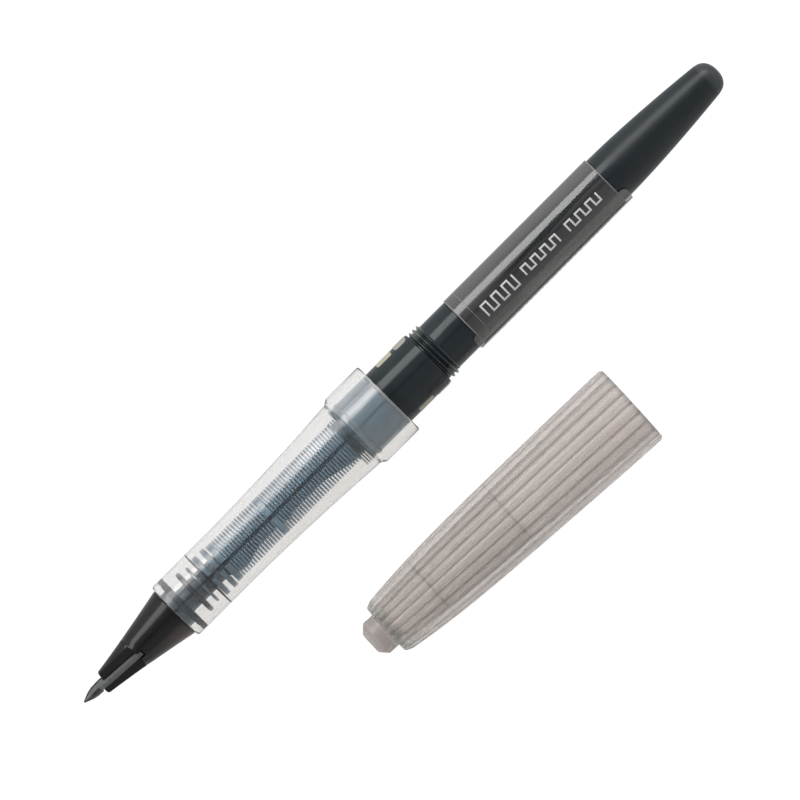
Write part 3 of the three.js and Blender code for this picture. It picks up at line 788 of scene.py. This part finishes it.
class Shader(Nodes):
    """One material: its node tree, with the Principled node at the end."""

    def __init__(self, name, **constants):
        self.material = bpy.data.materials.new(name)
        self.material.use_nodes = True
        super().__init__(self.material.node_tree)
        self.surface = self.tree.nodes["Principled BSDF"]
        for socket, value in constants.items():
            self.surface.inputs[socket.replace("_", " ")].default_value = value

    def finish(self, colour, roughness, height=None, relief=0.0, alpha=None):
        """Feeds the Principled node. Height from 0 to 1 makes a relief of so many millimetres."""
        self.link(colour, self.surface.inputs["Base Color"])
        self.link(roughness, self.surface.inputs["Roughness"])
        if alpha is not None:
            self.link(alpha, self.surface.inputs["Alpha"])
        if height is not None:
            bump = self.node("Bump", None, {"Height": height, "Distance": relief * MM, "Strength": 1.0})
            self.link(bump, self.surface.inputs["Normal"])
        return self.material


def near(value, middle, reach):
    """1 at middle, falling in a straight line to 0 at reach to both sides."""
    return (1.0 - abs(value - middle) / reach).clamped()


# ---- materials -----------------------------------------------------------------------------------


def nib_plastic(name, low, high, gloss, rough):
    """Dark grey filled plastic with a speckled, slightly worn surface."""
    s = Shader(name, Specular_IOR_Level=gloss)
    grain = s.noise(3.0, 4.0)
    flecks = s.noise(7.0, 2.0).math("GREATER_THAN", 0.6)
    tone = s.blend(flecks * 0.4, s.blend(grain, low, high), (0.2, 0.205, 0.21))
    return s.finish(tone, grain * 0.15 + rough, grain, 0.005)


def jet_plastic():
    """Black-brown moulding with a satin skin, a little browner low on the side towards the cap."""
    s = Shader("satin black moulding", Specular_IOR_Level=0.36)
    grain = s.noise(1.6, 5.0, (0.4, 1.0, 1.0))
    station, across, _ = s.split(s.along(PEN))
    low_side = ((station - 9.0) / 5.0).clamped() * ((across * -1.0 - 1.2) / 2.4).clamped()
    tone = s.blend(grain, (0.008, 0.0072, 0.007), (0.015, 0.0135, 0.013))
    tone = s.blend(low_side, tone, (0.11, 0.083, 0.072))
    return s.finish(tone, grain * 0.1 + 0.14, s.noise(14.0, 2.0), 0.002)


def slate_plastic(name, low, high, rough=0.22, gloss=0.7, ior=1.5):
    """Slate grey moulding between two tones, with painted highlight making it paler on the side away from the cap,
    towards the soft box, and painted dark reflection in a line along its top.
    """
    s = Shader(name, Specular_IOR_Level=gloss, IOR=ior)
    grain = s.noise(1.2, 4.0)
    station, across, up = s.split(s.along(PEN))
    front = ((FINS_FRONT + 3.2 - station) * 3.0).clamped()
    # Painted dark reflection: a dark line along the top, where the dark band overhead would be mirrored, stronger
    # at the front.
    painted_top_reflection = near(across, 0.0, 0.24) * (up * 2.0).clamped() * (front * 0.6 + 0.2)
    # Painted highlight: the side towards the soft box is blended towards a pale neutral grey.
    lit = ((across - 1.1) / 0.8).clamped() * 0.5
    tone = s.blend(front * 0.4, s.blend(grain, low, high), (0.05, 0.07, 0.09))
    tone = s.blend(lit, tone, (0.4, 0.39, 0.42))
    tone = s.blend(painted_top_reflection, tone, (0.035, 0.06, 0.078))
    behind, ahead = station - (SEAL_FRONT - 1.95), (SEAL_FRONT - 0.06) - station
    discs = (behind * 9.0).clamped() * (ahead * 9.0).clamped()
    tone = s.blend(discs * 0.85, tone, (0.045, 0.12, 0.17))
    return s.finish(tone, grain * 0.1 + rough, s.noise(12.0, 2.0), 0.002)


def clear_plastic():
    """Clear plastic of the grip, tinted by its outer surface only: slightly warmer towards the cap."""
    s = Shader("clear grip plastic", Transmission_Weight=0.97, IOR=1.46)
    haze = s.noise(0.25, 2.0, (0.3, 1.0, 1.0))
    station, across, up = s.split(s.along(PEN))
    radius = (across * across + up * up).math("SQRT")
    # The bore lies inside this radius, which grows with the flare, and the outer surface outside it.
    outside = ((radius - 3.84 - ((station - 30.0) * 0.048).math("MAXIMUM", 0.0)) * 20.0).clamped()
    low_side = (0.5 - across / 8.0).clamped()
    outer = s.blend(low_side, (0.817, 0.817, 0.807), (0.788, 0.768, 0.74))
    outer = s.blend(haze * 0.2, outer, (0.86, 0.85, 0.835))
    return s.finish(s.blend(outside, (0.99, 0.985, 0.98), outer), haze * 0.01 + 0.003)


def smoke_plastic():
    """Smoke-dark, glossy plastic, paler and greener over the dome, with painted pale reflection on the thread's
    crests at both sides.
    """
    s = Shader("smoke-dark plastic", IOR=1.45)
    station, across, _ = s.split(s.along(PEN))
    dome = ((station - (TAIL_END - DOME_LENGTH - 0.3)) / 0.5).clamped()
    tail = ((station - LABEL_REAR) / 3.0).clamped()
    cloud = s.noise(0.35, 3.0)
    neck_tone = s.blend(cloud, (0.0125, 0.0185, 0.021), (0.022, 0.031, 0.0355))
    tail_tone = s.blend(cloud, (0.0115, 0.0165, 0.0195), (0.018, 0.026, 0.03))
    # Painted reflection: pale green on the thread's crests only at both sides, where they are seen edge-on.
    crest_edge_reflection = near(station, LABEL_FRONT - 5.3, 1.1) * ((abs(across) - 2.4) / 1.5).clamped()
    colour = s.blend(dome * 0.7, s.blend(tail, neck_tone, tail_tone), (0.055, 0.062, 0.066))
    colour = s.blend((crest_edge_reflection * 2.0).clamped() * 0.6, colour, (0.2, 0.24, 0.2))
    return s.finish(colour, cloud * 0.06 + 0.12 + tail * 0.2, s.noise(0.7, 2.0, (0.15, 1.0, 1.0)), 0.01)


def film_plastic():
    """Grey clear film. Where it clings to the tank it turns clear, in one long wavy patch."""
    s = Shader("grey clear film", IOR=2.0)
    haze = s.noise(0.8, 4.0, (0.12, 1.0, 1.0))
    wave = s.noise(0.5, 2.0, (0.25, 1.0, 1.0))
    station, across, up = s.split(s.along(PEN))
    middle = (wave - 0.5) * 1.2 + 0.5 + (station - LABEL_FRONT) * 0.02
    share = ((station - LABEL_FRONT - 4.0) / 6.0).clamped() * (up * 4.0).clamped()
    cling = (near(across, middle, 0.42) * 3.0).clamped() * share
    # Painted highlight: the film is paler on the side towards the soft box, away from the cap.
    pale = ((across - 1.7) / 1.2).clamped() * 0.5
    colour = s.blend(pale, s.blend(haze, (0.03, 0.03, 0.031), (0.062, 0.061, 0.062)), (0.16, 0.16, 0.168))
    return s.finish(colour, haze * 0.1 + 0.1, wave, 0.02, 0.82 - cling * 0.74)


def overlap_plastic():
    """The doubled film, paler than the single."""
    s = Shader("doubled film", IOR=1.6)
    haze = s.noise(0.8, 3.0, (0.12, 1.0, 1.0))
    tone = s.blend(haze, (0.16, 0.16, 0.15), (0.3, 0.3, 0.285))
    return s.finish(tone, haze * 0.15 + 0.15, alpha=haze * 0.5 + 0.2)


def film_edge():
    """The film's cut edge, which shows pale."""
    s = Shader("film edge", IOR=1.5)
    worn = s.noise(3.0, 3.0)
    return s.finish(s.blend(worn, (0.13, 0.13, 0.126), (0.3, 0.3, 0.29)), worn * 0.2 + 0.3)


def print_ink(name, low, high):
    """Matt printing ink, slightly uneven."""
    s = Shader(name)
    worn = s.noise(6.0, 3.0)
    return s.finish(s.blend(worn, low, high), worn * 0.2 + 0.4)


def ivory_plastic():
    """Ivory moulding, finely grained."""
    s = Shader("ivory moulding")
    grain = s.noise(2.0, 3.0)
    return s.finish(s.blend(grain, (0.36, 0.33, 0.24), (0.5, 0.47, 0.37)), grain * 0.15 + 0.35, grain, 0.01)


def cap_plastic():
    """Warm grey translucent plastic, with painted shade in the valleys between flutes, at the end wall, at the
    mouth and over the liner's groove and end.
    """
    s = Shader("warm grey translucent plastic", Transmission_Weight=0.8, IOR=1.38)
    station, across, up = s.split(s.along(CAP))
    crest = abs(((up.math("ARCTAN2", across) - (UP + FLUTE_TURN)) * (FLUTES / 2)).math("COSINE"))
    # Painted shade: dark in the valleys between flutes.
    valley_shade = (1.0 - crest * 2.1).clamped()
    streaks = s.noise(0.9, 3.0, (0.03, 1.0, 1.0), CAP)
    warm = (1.0 - station / 26.0).clamped()
    tone = s.blend(streaks, (0.76, 0.71, 0.68), (0.92, 0.87, 0.84))
    tone = s.blend(warm * 0.5, tone, (0.76, 0.71, 0.655))
    tone = s.blend(valley_shade * 0.9, tone, (0.3, 0.275, 0.262))
    # Painted shade: dark bands at the end wall, the mouth, the liner's groove and the liner's end.
    ends = near(station, 3.2, 1.1) * 0.65 + near(station, CAP_LENGTH, 0.7) * 0.6
    ends = ends + near(station, LINER_GROOVE, 0.16) * 0.4 + near(station, LINER_END, 0.16) * 0.35
    return s.finish(s.blend(ends, tone, (0.3, 0.31, 0.3)), streaks * 0.06 + 0.24)


def liner_plastic():
    """The liner: clear, with two thin dark lines of painted shade, over its groove and at its end."""
    s = Shader("liner plastic", Transmission_Weight=1.0, IOR=1.16)
    station = s.split(s.along(CAP))[0]
    cloud = s.noise(0.5, 3.0, axis=CAP)
    # Painted shade over the groove and at the liner's end.
    liner_shade_lines = near(station, LINER_GROOVE, 0.2) * 0.9 + near(station, LINER_END, 0.2) * 0.8
    clear = s.blend(cloud, (0.97, 0.965, 0.96), (1.0, 0.995, 0.99))
    return s.finish(s.blend(liner_shade_lines, clear, (0.2, 0.19, 0.18)), cloud * 0.04 + 0.06)


def knob_plastic():
    """Warm grey translucent plastic of the knob, paler along its rims."""
    s = Shader("knob plastic", Transmission_Weight=0.55, IOR=1.4)
    station = s.split(s.along(CAP))[0]
    cloud = s.noise(0.7, 3.0, axis=CAP)
    rims = (near(station, 0.2, 0.35) + near(station, KNOB_LENGTH - 0.25, 0.3)).clamped()
    tone = s.blend(cloud, (0.42, 0.375, 0.35), (0.56, 0.5, 0.47))
    return s.finish(s.blend(rims * 0.5, tone, (0.68, 0.63, 0.6)), cloud * 0.1 + 0.22)


def feed_fibre():
    """Fibre bundle soaked with ink, its strands along the pen."""
    s = Shader("ink-soaked fibre")
    strands = s.noise(5.0, 3.0, (0.1, 1.0, 1.0))
    tone = s.blend(strands, (0.03, 0.05, 0.062), (0.07, 0.1, 0.12))
    return s.finish(tone, strands * 0.2 + 0.6, strands, 0.02)


def ink_black():
    """Ink, nearly black and glossy."""
    s = Shader("black ink")
    cloud = s.noise(0.5, 2.0)
    return s.finish(s.blend(cloud, (0.004, 0.005, 0.006), (0.009, 0.011, 0.013)), cloud * 0.05 + 0.08)


def dress(piece, material):
    """Gives a piece its one material."""
    piece.data.materials.clear()
    piece.data.materials.append(material)


# ---- floor, light and camera ---------------------------------------------------------------------


def floor():
    """A wide pale sheet lit from within like a light table, and dimmer in reflections on glossy plastic."""
    mesh = bpy.data.meshes.new("floor")
    reach, depth = 3.0, -0.00005
    corners = [(x * reach, y * reach, depth) for x, y in ((-1, -1), (1, -1), (1, 1), (-1, 1))]
    mesh.from_pydata(corners, [], [(0, 1, 2, 3)])
    sheet = bpy.data.objects.new("floor", mesh)
    bpy.context.scene.collection.objects.link(sheet)
    glow = Shader("pale floor", Roughness=0.9, Specular_IOR_Level=0.0, Emission_Strength=0.97)
    glow.link((0.12, 0.12, 0.12), glow.surface.inputs["Base Color"])
    mirrored = glow.node("LightPath", output="Is Reflection Ray")
    shown = glow.blend(mirrored, (1.0, 1.0, 1.0), (0.485, 0.485, 0.485))
    glow.link(shown, glow.surface.inputs["Emission Color"])
    mesh.materials.append(glow.material)
    sheet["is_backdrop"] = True


def soft_box():
    """A long box of light parallel to the pen, on the side away from the cap."""
    centre = Vector(PEN.put([(55.0, 0.0, 0.0)])[0])
    angle, away, wide, long, radiance = math.radians(51.7), 0.55, 0.28, 1.3, 3.3
    place = centre + Vector((0, math.sin(angle), math.cos(angle))) * away
    data = bpy.data.lights.new("soft_box", "AREA")
    data.shape = "RECTANGLE"
    data.size, data.size_y = wide, long
    data.energy = radiance * math.pi * wide * long
    lamp = bpy.data.objects.new("soft_box", data)
    lamp.location = place
    lamp.rotation_euler = (centre - place).to_track_quat("-Z", "X").to_euler()
    bpy.context.scene.collection.objects.link(lamp)


def surroundings():
    """A grey room: paler low down and at the pen's two ends, with a dark band overhead along the pen."""
    world = bpy.data.worlds.new("studio")
    bpy.context.scene.world = world
    world.use_nodes = True
    room = Nodes(world.node_tree)
    lengthways, sideways, upwards = room.split(room.node("TexCoord", output="Generated"))
    high = upwards.clamped()
    band = near(sideways, 0.0, 0.12) * ((high - 0.5) * 4.0).clamped()
    ends = abs(lengthways) * (1.0 - high) * 0.75
    grey = (0.6 - high * 0.38 + ends) * (1.0 - (band * 3.0).clamped() * 0.85)
    colour = room.blend(grey, (0.0, 0.0, 0.0), (1.0, 1.0, 1.02))
    room.link(colour, room.tree.nodes["Background"].inputs["Color"])


def camera():
    """Far above the pen, looking straight down, turned so that the pen runs up to the right.

    The eye is so many millimetres above the pen's axis, over a station and a place across it.
    """
    data = bpy.data.cameras.new("camera")
    data.lens, data.sensor_width = 450, 36
    data.clip_start, data.clip_end = 0.01, 30
    station, across, height = 55.3, -1.2, 1265.0
    eye = bpy.data.objects.new("camera", data)
    eye.location = PEN.put([(station, across, height)])[0]
    eye.rotation_euler = (0, 0, math.radians(-45))
    bpy.context.scene.collection.objects.link(eye)
    bpy.context.scene.camera = eye
    bpy.context.scene.view_settings.view_transform = "Standard"


# ---- making --------------------------------------------------------------------------------------

camera()
soft_box()
surroundings()
floor()

dark_slate = slate_plastic("dark slate moulding", (0.05, 0.064, 0.09), (0.075, 0.094, 0.13))
slate = slate_plastic("slate moulding", (0.17, 0.27, 0.345), (0.23, 0.345, 0.43))
fin_slate = slate_plastic("fin slate moulding", (0.26, 0.44, 0.58), (0.34, 0.54, 0.69))
pale_slate = slate_plastic("pale slate moulding", (0.245, 0.375, 0.46), (0.31, 0.455, 0.55), 0.09, 1.0, 1.62)
deep_slate = slate_plastic("deep slate moulding", (0.012, 0.018, 0.026), (0.024, 0.034, 0.046), 0.14)

polished = nib_plastic("polished nib plastic", (0.014, 0.0145, 0.015), (0.034, 0.035, 0.036), 0.45, 0.08)
speckled = nib_plastic("speckled nib plastic", (0.05, 0.053, 0.054), (0.16, 0.167, 0.17), 0.5, 0.26)
dress(nib_tip(), polished)
dress(nib_blade(), speckled)
dress(holder(), jet_plastic())
dress(stem(), slate)
dress(section(), clear_plastic())
dress(collector(), fin_slate)
dress(stem_ring("front_ring", 3.5, 0.1), dark_slate)
dress(stem_ring("baffle_ring", 3.26, 0.3), deep_slate)
dress(stem_ring("stop_ring", 2.95, 0.12), pale_slate)
dress(stem_ring("seal_washer", 3.5, 0.03), deep_slate)
dress(rear_seal(), pale_slate)
dress(neck_skirt(), pale_slate)
# Painted highlight: matt pale rings for the rim glints.
rim_glint_white = print_ink("painted rim glint", (0.5, 0.5, 0.47), (0.66, 0.66, 0.62))
for rim in socket_rim_glints():
    dress(rim, rim_glint_white)
dress(tank(), smoke_plastic())
dress(label(), film_plastic())
dress(label_overlap(), overlap_plastic())
dress(label_lift(), print_ink("free film edge", (0.42, 0.42, 0.4), (0.6, 0.6, 0.57)))
cut_edge = film_edge()
for edge in label_edges():
    dress(edge, cut_edge)
dress(label_print(), print_ink("white print", (0.6, 0.59, 0.56), (0.8, 0.79, 0.76)))
dress(label_ticks(), print_ink("dark print", (0.01, 0.01, 0.01), (0.03, 0.03, 0.03)))
ivory = ivory_plastic()
dress(latch_strip(1, "lock_lug_left"), ivory)
dress(latch_strip(-1, "lock_lug_right"), ivory)
dress(neck_pads(), print_ink("pale pad moulding", (0.26, 0.25, 0.225), (0.4, 0.39, 0.35)))
dress(cap_sleeve(), cap_plastic())
dress(cap_liner(), liner_plastic())
dress(cap_knob(), knob_plastic())
dress(frame["nodes"]["feed_rod"], feed_fibre())
dress(frame["nodes"]["ink_charge"], ink_black())
dress(frame["nodes"]["reservoir_plug"], slate)

boxes = {"cad": CAD_BOX, "visual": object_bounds()}
{name: [list(corner) for corner in box] for name, box in boxes.items()}
